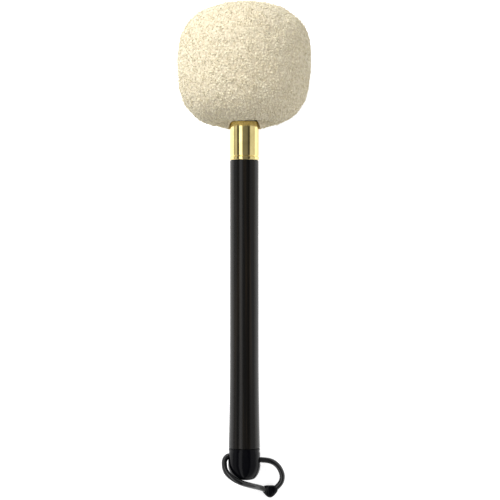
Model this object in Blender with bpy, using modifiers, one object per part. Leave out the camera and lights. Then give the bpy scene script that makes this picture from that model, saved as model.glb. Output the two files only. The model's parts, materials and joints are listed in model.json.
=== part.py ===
"""Gong mallet: a fleece head on a black turned handle, with a cord loop through the butt.

Each piece is modelled upright about its own Z axis, with the flat end of the butt cap at zero
height, +X to the right and -Y towards the viewer. An empty then lays the mallet down on its head
and its butt, as it rests on a table, with the head towards +Y.
"""

import math

import bmesh
import bpy
from mathutils import Matrix, Vector

MM = 0.001

# Clearances
GAP = 0.3 * MM  # between pieces that touch on the real mallet
MERGE = 0.01 * MM  # for points that are one point

# Handle, from the butt to the tenon inside the head
HANDLE_RADIUS = 11.1 * MM
BARE_HANDLE_LENGTH = 221.3 * MM
BUTT_SWELL = 0.95 * MM
SWELL_LENGTH = 75.0 * MM
NECK_RADIUS = 7.0 * MM
TENON_DEPTH = 34.0 * MM
SEAT_CHAMFER_RADIUS = 2.4 * MM
SEAT_CHAMFER_HEIGHT = 3.7 * MM

# Brass ferrule
FERRULE_RADIUS = 11.3 * MM
FERRULE_LENGTH = 29.4 * MM
FERRULE_WALL = 1.0 * MM
FERRULE_EDGE = 0.3 * MM
FERRULE_BEAD = 2.5 * MM
BEAD_GROOVE = 0.25 * MM

# Butt cap
CAP_LENGTH = 24.0 * MM
CAP_END_THICKNESS = 4.8 * MM
CAP_WALL = 1.7 * MM
CAP_BULGE = 0.55 * MM
CAP_FLAT_RADIUS = 6.5 * MM
CAP_CORNER_HEIGHT = 11.5 * MM
CAP_CORNER_POWER = 1.75

# Cross-hole for the cord, drilled on a slant
CORD_RADIUS = 2.15 * MM
BORE_HEIGHT = 16.6 * MM
BORE_SLANT = math.radians(8.0)
BORE_STRAIGHT = 8.5 * MM
MOUTH_RADIUS = 4.9 * MM
MOUTH_DEPTH = 4.6 * MM

# Sleeve on the two cord ends
SLEEVE_RADIUS = 6.1 * MM
SLEEVE_LENGTH = 9.6 * MM
SLEEVE_FLATNESS = 0.6
SLEEVE_PLACE = Vector((19.9, 6.15, -5.6)) * MM  # top of the sleeve: across, away, height

# Head
HEAD_RADIUS = 51.25 * MM
HEAD_BELLY = 54.4 * MM  # from the lowest point up to the widest ring
HEAD_CROWN = 42.4 * MM  # from the widest ring up to the top
CROWN_POWER = 2.4
BELLY_POWER = 3.05
HEAD_OVERLAP = 4.0 * MM  # the pile hangs this far over the ferrule
CROWN_LEAN = 0.8 * MM
HEAD_FLAT = 0.5 * MM  # how far the pile gives where the head rests
PILE_THICKNESS = 8.0 * MM
GATHER_THICKNESS = 13.3 * MM

# Hem of the cover and the thread that ties it to the neck
HEM_THICKNESS = 1.3 * MM
THREAD_RADIUS = 0.7 * MM
THREAD_PITCH = 1.9 * MM
THREAD_TURNS = 2.5
THREAD_POINTS_A_TURN = 24

# Core and the felt round it
CORE_RADIUS = 21.0 * MM
CORE_HEIGHT = 48.0 * MM
CORE_BASE = 26.0 * MM  # above the lowest point of the head
FELT_INNER_THICKNESS = 5.7 * MM
FELT_OUTER_THICKNESS = 5.7 * MM
DISC_RADIUS = 26.0 * MM
DISC_THICKNESS = 5.0 * MM

# Screw and washer that keep the core on the tenon
SHANK_RADIUS = 2.1 * MM
SHANK_LENGTH = 32.0 * MM
SCREW_HEAD_RADIUS = 4.6 * MM
SCREW_HEAD_HEIGHT = 3.0 * MM
SLOT_WIDTH = 1.1 * MM
SLOT_DEPTH = 1.4 * MM
WASHER_RADIUS = 8.0 * MM
WASHER_THICKNESS = 1.6 * MM
COUNTERBORE_DEPTH = 7.5 * MM

# Fineness of the turned shapes
HANDLE_SIDES = 36
HEAD_SIDES = 30
BARREL_STEPS = 16
SMALL_SIDES = 24

# Heights above the flat end of the cap
FERRULE_FOOT = CAP_LENGTH + GAP + BARE_HANDLE_LENGTH + GAP
FERRULE_TOP = FERRULE_FOOT + FERRULE_LENGTH
SHOULDER = FERRULE_TOP - 2 * GAP
HEAD_BASE = FERRULE_TOP - HEAD_OVERLAP
HEAD_WAIST = HEAD_BASE + HEAD_BELLY
HEAD_TOP = HEAD_WAIST + HEAD_CROWN
CORE_FOOT = HEAD_BASE + CORE_BASE
CORE_TOP = CORE_FOOT + CORE_HEIGHT
TENON_TOP = CORE_FOOT + TENON_DEPTH
SCREW_SEAT = CORE_TOP - COUNTERBORE_DEPTH + GAP + WASHER_THICKNESS + GAP
SHANK_TIP = SCREW_SEAT - SHANK_LENGTH
LOWER_DISC_FOOT = CORE_FOOT - GAP - DISC_THICKNESS
UPPER_DISC_TOP = CORE_TOP + GAP + DISC_THICKNESS
CAVITY_BASE = HEAD_BASE + GATHER_THICKNESS

# Radii that follow from the sizes above
BORE_RADIUS = CORD_RADIUS + GAP
SEAT_RADIUS = FERRULE_RADIUS - FERRULE_WALL - GAP
BUTT_RADIUS = HANDLE_RADIUS + BUTT_SWELL
SOCKET_RADIUS = BUTT_RADIUS - CAP_WALL
BUTT_SEAT_RADIUS = SOCKET_RADIUS - GAP
CAP_RADIUS = BUTT_RADIUS + CAP_BULGE
NECK_HOLE_RADIUS = NECK_RADIUS + GAP
PILOT_RADIUS = SHANK_RADIUS + GAP
HEM_RADIUS = NECK_HOLE_RADIUS + HEM_THICKNESS
THREAD_COIL_RADIUS = HEM_RADIUS + GAP + THREAD_RADIUS
FELT_INNER_RADIUS = CORE_RADIUS + GAP + FELT_INNER_THICKNESS
FELT_OUTER_RADIUS = FELT_INNER_RADIUS + GAP + FELT_OUTER_THICKNESS

# Route of the cord outside the cross-hole, chosen by hand: across, towards the viewer and height
# above the flat end of the cap, in mm. It runs from the sleeve over the corner of the cap to the
# left mouth, and from the right mouth back to the sleeve.
LEFT_STRAND = [
    (17.6, -6.1, -10.6),
    (16.1, -5.5, -9.1),
    (13.9, -4.1, -7.8),
    (11.0, -1.8, -6.6),
    (6.7, 2.6, -5.0),
    (2.1, 6.4, -3.3),
    (-2.5, 9.0, -1.5),
    (-6.4, 9.8, 0.4),
    (-9.9, 9.2, 2.6),
    (-12.4, 7.8, 4.6),
    (-14.1, 6.2, 6.9),
    (-15.1, 4.4, 9.4),
    (-15.4, 2.5, 12.2),
    (-15.2, 1.2, 14.4),
    (-14.2, 0.5, 16.4),
    (-12.5, 0.1, 17.7),
    (-10.3, 0.0, 18.0),
]
RIGHT_STRAND = [
    (11.0, 0.0, 15.05),
    (13.6, -0.1, 14.8),
    (16.6, -0.3, 14.55),
    (19.8, -0.9, 13.9),
    (22.8, -1.8, 12.5),
    (25.4, -2.8, 10.3),
    (27.3, -3.8, 7.7),
    (28.6, -4.7, 4.9),
    (29.3, -5.4, 2.1),
    (29.2, -5.9, -0.6),
    (28.5, -6.2, -3.0),
    (27.1, -6.3, -5.1),
    (25.4, -6.3, -6.9),
    (23.7, -6.3, -8.6),
    (22.4, -6.2, -10.6),
]
CORD_SPACING = 1.7 * MM
SOCKET_POINTS = 6  # of the cord's points, how many lie in or near the sleeve at each end

# Colour, roughness and metallic value
FINISHES = {
    "black_lacquer": ((0.012, 0.011, 0.010), 0.28, 0.0),
    "polished_brass": ((0.80, 0.64, 0.27), 0.18, 1.0),
    "black_vinyl": ((0.008, 0.008, 0.011), 0.20, 0.0),
    "black_cord": ((0.014, 0.014, 0.016), 0.30, 0.0),
    "black_thread": ((0.010, 0.009, 0.008), 0.70, 0.0),
    "cream_fleece": ((0.80, 0.74, 0.56), 0.95, 0.0),
    "wool_wadding": ((0.78, 0.75, 0.66), 1.00, 0.0),
    "grey_felt": ((0.42, 0.41, 0.39), 0.95, 0.0),
    "core_wood": ((0.56, 0.38, 0.20), 0.60, 0.0),
    "zinc_steel": ((0.60, 0.61, 0.62), 0.35, 1.0),
}


def clear_scene():
    for old in list(bpy.data.objects):
        bpy.data.objects.remove(old, do_unlink=True)


def new_collection(name):
    group = bpy.data.collections.new(name)
    bpy.context.scene.collection.children.link(group)
    return group


clear_scene()
MALLET = new_collection("gong_mallet")
CUTTERS = new_collection("cutters")


def finish(name):
    """The material of one finish."""
    found = bpy.data.materials.get(name)
    if found:
        return found
    colour, roughness, metallic = FINISHES[name]
    made = bpy.data.materials.new(name)
    made.use_nodes = True
    shader = made.node_tree.nodes["Principled BSDF"]
    shader.inputs["Base Color"].default_value = (*colour, 1.0)
    shader.inputs["Roughness"].default_value = roughness
    shader.inputs["Metallic"].default_value = metallic
    made.diffuse_color = (*colour, 1.0)
    return made


def place(obj, parent, material):
    MALLET.objects.link(obj)
    obj.data.materials.append(finish(material))
    obj.parent = parent
    return obj


def place_cutter(obj, parent):
    CUTTERS.objects.link(obj)
    obj.parent = parent
    obj.hide_render = True
    obj.display_type = "WIRE"
    return obj


def turned(name, profile, sides, closed=False):
    """A profile of (radius, height) turned about Z. It runs down its outer side."""
    mesh = bpy.data.meshes.new(name)
    points = [(radius, 0.0, height) for radius, height in profile]
    edges = [(i, i + 1) for i in range(len(points) - 1)]
    if closed:
        edges.append((len(points) - 1, 0))
    mesh.from_pydata(points, edges, [])
    obj = bpy.data.objects.new(name, mesh)
    screw = obj.modifiers.new("Turn", "SCREW")
    screw.steps = sides
    screw.render_steps = sides
    screw.use_merge_vertices = True
    screw.merge_threshold = MERGE
    return obj


def cut(obj, cutter, name, operation="DIFFERENCE"):
    boolean = obj.modifiers.new(name, "BOOLEAN")
    boolean.operation = operation
    boolean.object = cutter
    boolean.solver = "EXACT"


def tube(name, points, radius, sides_level):
    """A round tube with flat ends through points close together."""
    curve = bpy.data.curves.new(name, "CURVE")
    curve.dimensions = "3D"
    curve.bevel_depth = radius
    curve.bevel_resolution = sides_level
    curve.use_fill_caps = True
    spline = curve.splines.new("POLY")
    spline.points.add(len(points) - 1)
    for spot, point in zip(spline.points, points):
        spot.co = (*point, 1.0)
    return bpy.data.objects.new(name, curve)


def tube_cutter(name, points, radius, sides_level, parent):
    """The same tube as one closed mesh, which a Boolean can cut with."""
    drawn = tube(name, points, radius, sides_level)
    CUTTERS.objects.link(drawn)
    drawn.parent = parent
    bpy.context.view_layer.update()
    seen = drawn.evaluated_get(bpy.context.evaluated_depsgraph_get())
    mesh = bpy.data.meshes.new_from_object(seen)
    welder = bmesh.new()
    welder.from_mesh(mesh)
    bmesh.ops.remove_doubles(welder, verts=welder.verts, dist=MERGE)
    welder.to_mesh(mesh)
    welder.free()
    solid = bpy.data.objects.new(name + "_solid", mesh)
    bpy.data.objects.remove(drawn)
    return place_cutter(solid, parent)


def smooth_route(points, spacing):
    """Points a spacing apart along a smooth curve through the given ones."""
    line = [2 * points[0] - points[1], *points, 2 * points[-1] - points[-2]]
    fine = 24
    drawn = []
    for a, b, c, d in zip(line, line[1:], line[2:], line[3:]):
        knots = [0.0]
        for start, end in ((a, b), (b, c), (c, d)):
            knots.append(knots[-1] + math.sqrt((end - start).length))
        for i in range(fine):
            at = knots[1] + (knots[2] - knots[1]) * i / fine
            ab = a.lerp(b, (at - knots[0]) / (knots[1] - knots[0]))
            bc = b.lerp(c, (at - knots[1]) / (knots[2] - knots[1]))
            cd = c.lerp(d, (at - knots[2]) / (knots[3] - knots[2]))
            abc = ab.lerp(bc, (at - knots[0]) / (knots[2] - knots[0]))
            bcd = bc.lerp(cd, (at - knots[1]) / (knots[3] - knots[1]))
            drawn.append(abc.lerp(bcd, (at - knots[1]) / (knots[2] - knots[1])))
    drawn.append(points[-1])
    lengths = [(q - p).length for p, q in zip(drawn, drawn[1:])]
    count = max(2, round(sum(lengths) / spacing))
    step = sum(lengths) / count
    even = [drawn[0]]
    covered = 0.0
    for start, end, length in zip(drawn, drawn[1:], lengths):
        while len(even) < count and covered + length >= step * len(even):
            share = (step * len(even) - covered) / length
            even.append(start.lerp(end, share))
        covered += length
    even.append(drawn[-1])
    return even


def least_gap(points, radius, apart):
    """Least gap of a tube to itself, between points at least apart steps from each other."""
    nearest = min(
        (points[i] - points[j]).length
        for i in range(len(points))
        for j in range(i + apart, len(points))
    )
    return nearest - 2 * radius


def barrel(radius, top, base):
    """Profile of a barrel with rounded ends, pole to pole, widest where the head is."""
    profile = []
    for i in range(BARREL_STEPS + 1):
        profile.append(barrel_point(math.pi * i / BARREL_STEPS, radius, top, base))
    return profile


def barrel_point(polar, radius, top, base):
    across = max(0.0, math.sin(polar))
    along = math.cos(polar)
    if along >= 0:
        power, reach = CROWN_POWER, top - HEAD_WAIST
    else:
        power, reach = BELLY_POWER, HEAD_WAIST - base
    if across < 1e-6:
        return 0.0, HEAD_WAIST + math.copysign(reach, along)
    height = math.copysign(abs(along) ** (2 / power) * reach, along)
    return radius * across ** (2 / power), HEAD_WAIST + height


def cap_outline():
    """Outer profile of the butt cap, from its lip down to its flat end."""
    lip = 0.6 * MM
    rise = CAP_LENGTH - CAP_CORNER_HEIGHT
    profile = [
        (BUTT_RADIUS - lip, CAP_LENGTH),
        (BUTT_RADIUS - 0.2 * lip, CAP_LENGTH - 0.2 * lip),
        (BUTT_RADIUS, CAP_LENGTH - lip),
    ]
    for share in (0.3, 0.55, 0.8):
        profile.append((BUTT_RADIUS + CAP_BULGE * share, CAP_LENGTH - rise * share))
    corner = CAP_RADIUS - CAP_FLAT_RADIUS
    steps = 9
    for i in range(steps + 1):
        angle = math.pi / 2 * i / steps
        across = math.cos(angle) ** (2 / CAP_CORNER_POWER)
        down = math.sin(angle) ** (2 / CAP_CORNER_POWER)
        if i == steps:
            across = 0.0
        profile.append((CAP_FLAT_RADIUS + corner * across, CAP_CORNER_HEIGHT * (1 - down)))
    return profile


def handle_outline():
    """Outer profile of the handle, from the top of the tenon down to the butt."""
    profile = [
        (NECK_RADIUS - 2 * GAP, TENON_TOP),
        (NECK_RADIUS, TENON_TOP - 2 * GAP),
        (NECK_RADIUS, SHOULDER),
        (SEAT_RADIUS, SHOULDER),
        (SEAT_RADIUS, FERRULE_FOOT - GAP),
        (HANDLE_RADIUS, FERRULE_FOOT - GAP),
    ]
    foot = CAP_LENGTH + GAP
    steps = 8
    for i in range(steps + 1):
        share = 1 - i / steps
        swell = BUTT_SWELL * (1 - share) ** 2
        profile.append((HANDLE_RADIUS + swell, foot + SWELL_LENGTH * share))
    end = CAP_END_THICKNESS + GAP
    profile += [
        (BUTT_SEAT_RADIUS, foot),
        (BUTT_SEAT_RADIUS, end + SEAT_CHAMFER_HEIGHT),
        (BUTT_SEAT_RADIUS - SEAT_CHAMFER_RADIUS, end),
    ]
    return profile


def resting_tilt():
    """Angle at which the head and the cap both touch the table, and the cap's lowest point."""
    cap = cap_outline()
    head = barrel(HEAD_RADIUS, HEAD_TOP, HEAD_BASE)

    def lowest(profile, tilt):
        return min(z * math.sin(tilt) - r * math.cos(tilt) for r, z in profile)

    low, high = 0.0, math.radians(30)
    for _ in range(60):
        tilt = (low + high) / 2
        if lowest(head, tilt) + HEAD_FLAT < lowest(cap, tilt):
            low = tilt
        else:
            high = tilt
    return tilt, lowest(cap, tilt)


def lay_down():
    """The empty that carries the mallet, centred on its length over the origin."""
    tilt, lowest = resting_tilt()
    near = min(z * math.cos(tilt) - r * math.sin(tilt) for r, z in cap_outline())
    crown = barrel(HEAD_RADIUS, HEAD_TOP, HEAD_BASE)
    far = max(z * math.cos(tilt) + r * math.sin(tilt) for r, z in crown)
    empty = bpy.data.objects.new("mallet_on_table", None)
    MALLET.objects.link(empty)
    empty.rotation_euler.x = tilt - math.pi / 2
    empty.location = (0.0, -(near + far) / 2, -lowest)
    return empty


def hang_hinge(parent):
    """The empty on which the cord loop swings, at the middle of the cross-hole."""
    empty = bpy.data.objects.new("loop_hinge", None)
    MALLET.objects.link(empty)
    empty.parent = parent
    empty.location = (0.0, 0.0, BORE_HEIGHT)
    return empty


def make_bore_cutter(parent):
    """A rod with flared ends, along the slanted cross-hole."""
    reach = BORE_STRAIGHT + MOUTH_DEPTH
    steps = 5
    flare = []
    for i in range(steps + 1):
        share = i / steps
        radius = BORE_RADIUS + (MOUTH_RADIUS - BORE_RADIUS) * share**2
        flare.append((radius, BORE_STRAIGHT + MOUTH_DEPTH * share))
    upper = [(0.0, reach + MOUTH_DEPTH), (MOUTH_RADIUS, reach + MOUTH_DEPTH), *flare[::-1]]
    lower = [(radius, -height) for radius, height in upper[::-1]]
    rod = turned("bore_cutter", upper + lower, SMALL_SIDES)
    rod.location = (0.0, 0.0, BORE_HEIGHT)
    rod.rotation_euler.y = math.pi / 2 + BORE_SLANT
    return place_cutter(rod, parent)


def make_handle(parent, bore):
    pilot_foot = SHANK_TIP - GAP
    pilot = [(0.0, pilot_foot), (PILOT_RADIUS, pilot_foot), (PILOT_RADIUS, TENON_TOP)]
    profile = pilot + handle_outline() + [(0.0, CAP_END_THICKNESS + GAP)]
    handle = turned("handle_shaft", profile, HANDLE_SIDES)
    cut(handle, bore, "Cross-hole")
    return place(handle, parent, "black_lacquer")


def make_ferrule(parent):
    """A tube with eased edges and a bead above its foot."""
    groove = FERRULE_FOOT + FERRULE_BEAD
    profile = [
        (FERRULE_RADIUS - FERRULE_EDGE, FERRULE_TOP),
        (FERRULE_RADIUS, FERRULE_TOP - FERRULE_EDGE),
        (FERRULE_RADIUS, groove + 2 * BEAD_GROOVE),
        (FERRULE_RADIUS - BEAD_GROOVE, groove + BEAD_GROOVE),
        (FERRULE_RADIUS, groove),
        (FERRULE_RADIUS, FERRULE_FOOT + FERRULE_EDGE),
        (FERRULE_RADIUS - FERRULE_EDGE, FERRULE_FOOT),
        (FERRULE_RADIUS - FERRULE_WALL, FERRULE_FOOT),
        (FERRULE_RADIUS - FERRULE_WALL, FERRULE_TOP),
    ]
    ferrule = turned("brass_ferrule", profile, HANDLE_SIDES, closed=True)
    return place(ferrule, parent, "polished_brass")


def make_cap(parent, bore):
    """A cup over the butt, thick at its end."""
    profile = [
        *cap_outline(),
        (0.0, 0.0),
    ]
    inside = [
        (0.0, CAP_END_THICKNESS),
        (SOCKET_RADIUS - SEAT_CHAMFER_RADIUS, CAP_END_THICKNESS),
        (SOCKET_RADIUS, CAP_END_THICKNESS + SEAT_CHAMFER_HEIGHT),
        (SOCKET_RADIUS, CAP_LENGTH),
    ]
    cap = turned("butt_cap", inside + profile, HANDLE_SIDES)
    cut(cap, bore, "Cross-hole")
    return place(cap, parent, "black_vinyl")


def from_hinge(strand):
    """Route points as vectors from the hinge, in metres."""
    return [Vector((x, -out, z)) * MM - Vector((0.0, 0.0, BORE_HEIGHT)) for x, out, z in strand]


def cord_route():
    along_bore = Vector((math.cos(BORE_SLANT), 0.0, -math.sin(BORE_SLANT)))
    inside = [along_bore * BORE_STRAIGHT * share for share in (-1.0, -0.5, 0.0, 0.5, 1.0)]
    route = from_hinge(LEFT_STRAND) + inside + from_hinge(RIGHT_STRAND)
    return smooth_route(route, CORD_SPACING)


def make_loop(hinge):
    """The cord, one length through the bore, and the sleeve that grips both its ends."""
    route = cord_route()
    cord = tube("wrist_cord", route, CORD_RADIUS, 3)
    place(cord, hinge, "black_cord")
    apart = math.ceil(3 * CORD_RADIUS / CORD_SPACING) + 1
    print("cord: least gap to itself, mm", round(least_gap(route, CORD_RADIUS, apart) / MM, 2))

    shape = [(0.0, 0.0), (0.55, 0.0), (0.86, 0.10), (0.98, 0.24), (1.0, 0.38), (0.93, 0.52)]
    shape += [(0.78, 0.66), (0.60, 0.79), (0.40, 0.90), (0.20, 0.97), (0.0, 1.0)]
    profile = [(SLEEVE_RADIUS * across, -SLEEVE_LENGTH * down) for across, down in shape]
    sleeve = turned("cord_end_sleeve", profile, SMALL_SIDES)
    sleeve.scale.y = SLEEVE_FLATNESS
    sleeve.location = SLEEVE_PLACE - Vector((0.0, 0.0, BORE_HEIGHT))
    place(sleeve, hinge, "black_vinyl")
    for side, near in (("left", route[:SOCKET_POINTS]), ("right", route[: -SOCKET_POINTS - 1 : -1])):
        outward = (near[0] - near[1]).normalized()
        deeper = [near[0] + outward * GAP, *near]
        socket = tube_cutter(f"{side}_socket", deeper, CORD_RADIUS + GAP, 2, hinge)
        cut(sleeve, socket, f"{side} socket")


def make_core(parent):
    floor = CORE_TOP - COUNTERBORE_DEPTH
    wide = WASHER_RADIUS + 2 * GAP
    profile = [
        (CORE_RADIUS, CORE_TOP),
        (CORE_RADIUS, CORE_FOOT),
        (NECK_HOLE_RADIUS, CORE_FOOT),
        (NECK_HOLE_RADIUS, TENON_TOP + GAP),
        (PILOT_RADIUS, TENON_TOP + GAP),
        (PILOT_RADIUS, floor),
        (wide, floor),
        (wide, CORE_TOP),
    ]
    core = turned("head_core", profile, HEAD_SIDES, closed=True)
    return place(core, parent, "core_wood")


def ring(name, outer, inner, foot, top, parent, material):
    profile = [(outer, top), (outer, foot), (inner, foot), (inner, top)]
    return place(turned(name, profile, HEAD_SIDES, closed=True), parent, material)


def make_screw(parent):
    """A round-headed wood screw with a slot."""
    top = SCREW_SEAT + SCREW_HEAD_HEIGHT
    profile = [
        (0.0, top),
        (0.55 * SCREW_HEAD_RADIUS, top - 0.12 * SCREW_HEAD_HEIGHT),
        (0.88 * SCREW_HEAD_RADIUS, top - 0.45 * SCREW_HEAD_HEIGHT),
        (SCREW_HEAD_RADIUS, SCREW_SEAT),
        (SHANK_RADIUS, SCREW_SEAT),
        (SHANK_RADIUS, SHANK_TIP + 2 * SHANK_RADIUS),
        (0.0, SHANK_TIP),
    ]
    screw = turned("core_screw", profile, SMALL_SIDES)
    place(screw, parent, "zinc_steel")

    mesh = bpy.data.meshes.new("slot_cutter")
    box = bmesh.new()
    size = Matrix.Diagonal((4 * SCREW_HEAD_RADIUS, SLOT_WIDTH, 2 * SLOT_DEPTH, 1.0))
    bmesh.ops.create_cube(box, size=1.0, matrix=size)
    box.to_mesh(mesh)
    box.free()
    slot = bpy.data.objects.new("slot_cutter", mesh)
    slot.location = (0.0, 0.0, top)
    cut(screw, place_cutter(slot, parent), "Slot")


def make_wadding(parent):
    """Wool that fills the space between the felt and the cover, open round the neck."""
    radius = HEAD_RADIUS - PILE_THICKNESS - GAP
    base = CAVITY_BASE + GAP
    outer = [
        spot
        for spot in barrel(radius, HEAD_TOP - PILE_THICKNESS - GAP, base)
        if spot[0] > NECK_HOLE_RADIUS or spot[1] > HEAD_WAIST
    ]
    pocket = DISC_RADIUS + GAP
    wide = FELT_OUTER_RADIUS + GAP
    inner = [
        (NECK_HOLE_RADIUS, base),
        (NECK_HOLE_RADIUS, LOWER_DISC_FOOT - GAP),
        (pocket, LOWER_DISC_FOOT - GAP),
        (pocket, CORE_FOOT - GAP),
        (wide, CORE_FOOT - GAP),
        (wide, CORE_TOP + GAP),
        (pocket, CORE_TOP + GAP),
        (pocket, UPPER_DISC_TOP + GAP),
        (0.0, UPPER_DISC_TOP + GAP),
    ]
    wadding = turned("wadding", outer + inner, HEAD_SIDES)
    return place(wadding, parent, "wool_wadding")


def make_whipping(parent):
    """Thread wound round the hem, just above the ferrule."""
    first = FERRULE_TOP + 2 * GAP + THREAD_RADIUS
    count = round(THREAD_TURNS * THREAD_POINTS_A_TURN)
    points = []
    for i in range(count + 1):
        angle = 2 * math.pi * i / THREAD_POINTS_A_TURN
        across = THREAD_COIL_RADIUS * math.cos(angle)
        away = THREAD_COIL_RADIUS * math.sin(angle)
        points.append(Vector((across, away, first + THREAD_PITCH * i / THREAD_POINTS_A_TURN)))
    half_turn = THREAD_POINTS_A_TURN // 2
    gap = least_gap(points, THREAD_RADIUS, half_turn)
    print("whipping: least gap to itself, mm", round(gap / MM, 2))
    return place(tube("neck_whipping", points, THREAD_RADIUS, 1), parent, "black_thread")


def make_cover_cutter(parent):
    """The space inside the cover, its hole for the neck and the recess round the tied hem."""
    recess_top = FERRULE_TOP + GAP + THREAD_TURNS * THREAD_PITCH + 2 * THREAD_RADIUS + 2 * GAP
    hem_foot = FERRULE_TOP + GAP
    coil_outside = THREAD_COIL_RADIUS + THREAD_RADIUS + GAP
    inside = barrel(HEAD_RADIUS - PILE_THICKNESS, HEAD_TOP - PILE_THICKNESS, CAVITY_BASE)
    inside = [spot for spot in inside if spot[0] > NECK_HOLE_RADIUS or spot[1] > HEAD_WAIST]
    below = HEAD_BASE - 2 * HEAD_OVERLAP
    neck = [
        (NECK_HOLE_RADIUS, CAVITY_BASE),
        (NECK_HOLE_RADIUS, hem_foot),
        (HEM_RADIUS, hem_foot),
        (HEM_RADIUS, recess_top),
        (coil_outside, recess_top),
        (FERRULE_RADIUS + 2 * GAP, FERRULE_TOP + 2 * GAP),
        (FERRULE_RADIUS + 2 * GAP, HEAD_BASE + 0.7 * HEAD_OVERLAP),
        (FERRULE_RADIUS + 0.35 * HEAD_OVERLAP, HEAD_BASE + 0.35 * HEAD_OVERLAP),
        (FERRULE_RADIUS + HEAD_OVERLAP, HEAD_BASE + 0.08 * HEAD_OVERLAP),
        (FERRULE_RADIUS + 1.5 * HEAD_OVERLAP, HEAD_BASE - 0.1 * HEAD_OVERLAP),
        (FERRULE_RADIUS + 1.5 * HEAD_OVERLAP, below),
        (0.0, below),
    ]
    return place_cutter(turned("cover_cutter", inside + neck, HEAD_SIDES), parent)


def make_table_cutter():
    """A block under the table top, which flattens the pile where the head rests."""
    width = 2 * HEAD_RADIUS
    mesh = bpy.data.meshes.new("table_cutter")
    block = bmesh.new()
    bmesh.ops.create_cube(block, size=width)
    block.to_mesh(mesh)
    block.free()
    obj = bpy.data.objects.new("table_cutter", mesh)
    obj.location = (0.0, HEAD_WAIST / 2, -width / 2)
    return place_cutter(obj, None)


def make_cover(parent):
    """The fleece: a leaning barrel with a flat crown, drawn in at the neck."""
    mesh = bpy.data.meshes.new("fleece_cover")
    form = bmesh.new()
    bmesh.ops.create_uvsphere(form, u_segments=HEAD_SIDES, v_segments=BARREL_STEPS, radius=1.0)
    for spot in form.verts:
        turn = math.atan2(spot.co.y, spot.co.x)
        polar = math.acos(max(-1.0, min(1.0, spot.co.z)))
        radius, height = barrel_point(polar, HEAD_RADIUS, HEAD_TOP, HEAD_BASE)
        lean = CROWN_LEAN * (height - HEAD_WAIST) / HEAD_CROWN
        spot.co = (lean + radius * math.cos(turn), radius * math.sin(turn), height)
    form.to_mesh(mesh)
    form.free()
    mesh.shade_smooth()
    cover = bpy.data.objects.new("fleece_cover", mesh)
    cut(cover, make_cover_cutter(parent), "Inside and neck")
    cut(cover, make_table_cutter(), "Flat under the head")
    return place(cover, parent, "cream_fleece")


def make_mallet():
    rest = lay_down()
    bore = make_bore_cutter(rest)
    make_handle(rest, bore)
    make_ferrule(rest)
    make_cap(rest, bore)
    make_loop(hang_hinge(rest))
    make_core(rest)
    ring(
        "core_washer",
        WASHER_RADIUS,
        PILOT_RADIUS,
        CORE_TOP - COUNTERBORE_DEPTH + GAP,
        CORE_TOP - COUNTERBORE_DEPTH + GAP + WASHER_THICKNESS,
        rest,
        "zinc_steel",
    )
    make_screw(rest)
    inner = (FELT_INNER_RADIUS, CORE_RADIUS + GAP)
    ring("felt_wrap_inner", *inner, CORE_FOOT, CORE_TOP, rest, "grey_felt")
    outer = (FELT_OUTER_RADIUS, FELT_INNER_RADIUS + GAP)
    ring("felt_wrap_outer", *outer, CORE_FOOT, CORE_TOP, rest, "grey_felt")
    lower = (DISC_RADIUS, NECK_HOLE_RADIUS, LOWER_DISC_FOOT, CORE_FOOT - GAP)
    ring("felt_disc_bottom", *lower, rest, "grey_felt")
    disc = [(0.0, UPPER_DISC_TOP), (DISC_RADIUS, UPPER_DISC_TOP)]
    disc += [(DISC_RADIUS, CORE_TOP + GAP), (0.0, CORE_TOP + GAP)]
    place(turned("felt_disc_top", disc, HEAD_SIDES), rest, "grey_felt")
    make_wadding(rest)
    make_whipping(rest)
    make_cover(rest)


make_mallet()
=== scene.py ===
import json
import math

import bpy
import numpy as np
from mathutils import Matrix, Vector, noise


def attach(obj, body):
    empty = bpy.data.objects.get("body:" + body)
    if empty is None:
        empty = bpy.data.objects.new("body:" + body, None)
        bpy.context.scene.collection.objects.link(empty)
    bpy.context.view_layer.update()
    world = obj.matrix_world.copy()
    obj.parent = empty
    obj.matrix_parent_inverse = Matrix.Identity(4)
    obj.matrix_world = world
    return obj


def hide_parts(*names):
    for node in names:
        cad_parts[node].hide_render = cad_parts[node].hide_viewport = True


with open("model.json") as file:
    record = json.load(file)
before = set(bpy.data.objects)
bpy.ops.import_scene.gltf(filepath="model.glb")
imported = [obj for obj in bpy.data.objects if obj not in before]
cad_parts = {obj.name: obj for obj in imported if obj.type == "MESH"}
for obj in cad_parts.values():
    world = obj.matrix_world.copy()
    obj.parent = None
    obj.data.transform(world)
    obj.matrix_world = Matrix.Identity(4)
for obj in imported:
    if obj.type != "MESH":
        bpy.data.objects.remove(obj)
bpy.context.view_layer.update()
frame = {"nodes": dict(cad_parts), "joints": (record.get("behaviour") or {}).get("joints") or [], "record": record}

MM = 0.001

# The mallet's own frame: X across, -Y towards the viewer, Z up the handle from the cap's flat end
BORE_HEIGHT = 16.6
BUTT_END = next(mount for mount in frame["record"]["mounts"] if mount["name"] == "butt_end")
LOOP_SWING = next(joint for joint in frame["joints"] if joint["name"] == "loop_swing")
ALONG = -Vector(BUTT_END["axis"]).normalized()
ACROSS = Vector((1.0, 0.0, 0.0))
OUTWARD = ACROSS.cross(ALONG)
FOOT = Vector(LOOP_SWING["pos_m"]) - ALONG * BORE_HEIGHT * MM
LAID = Matrix.Translation(FOOT) @ Matrix((ACROSS, -OUTWARD, ALONG)).transposed().to_4x4()
UPRIGHT = LAID.to_3x3().inverted().to_euler()  # turns world directions to the mallet's own

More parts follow.
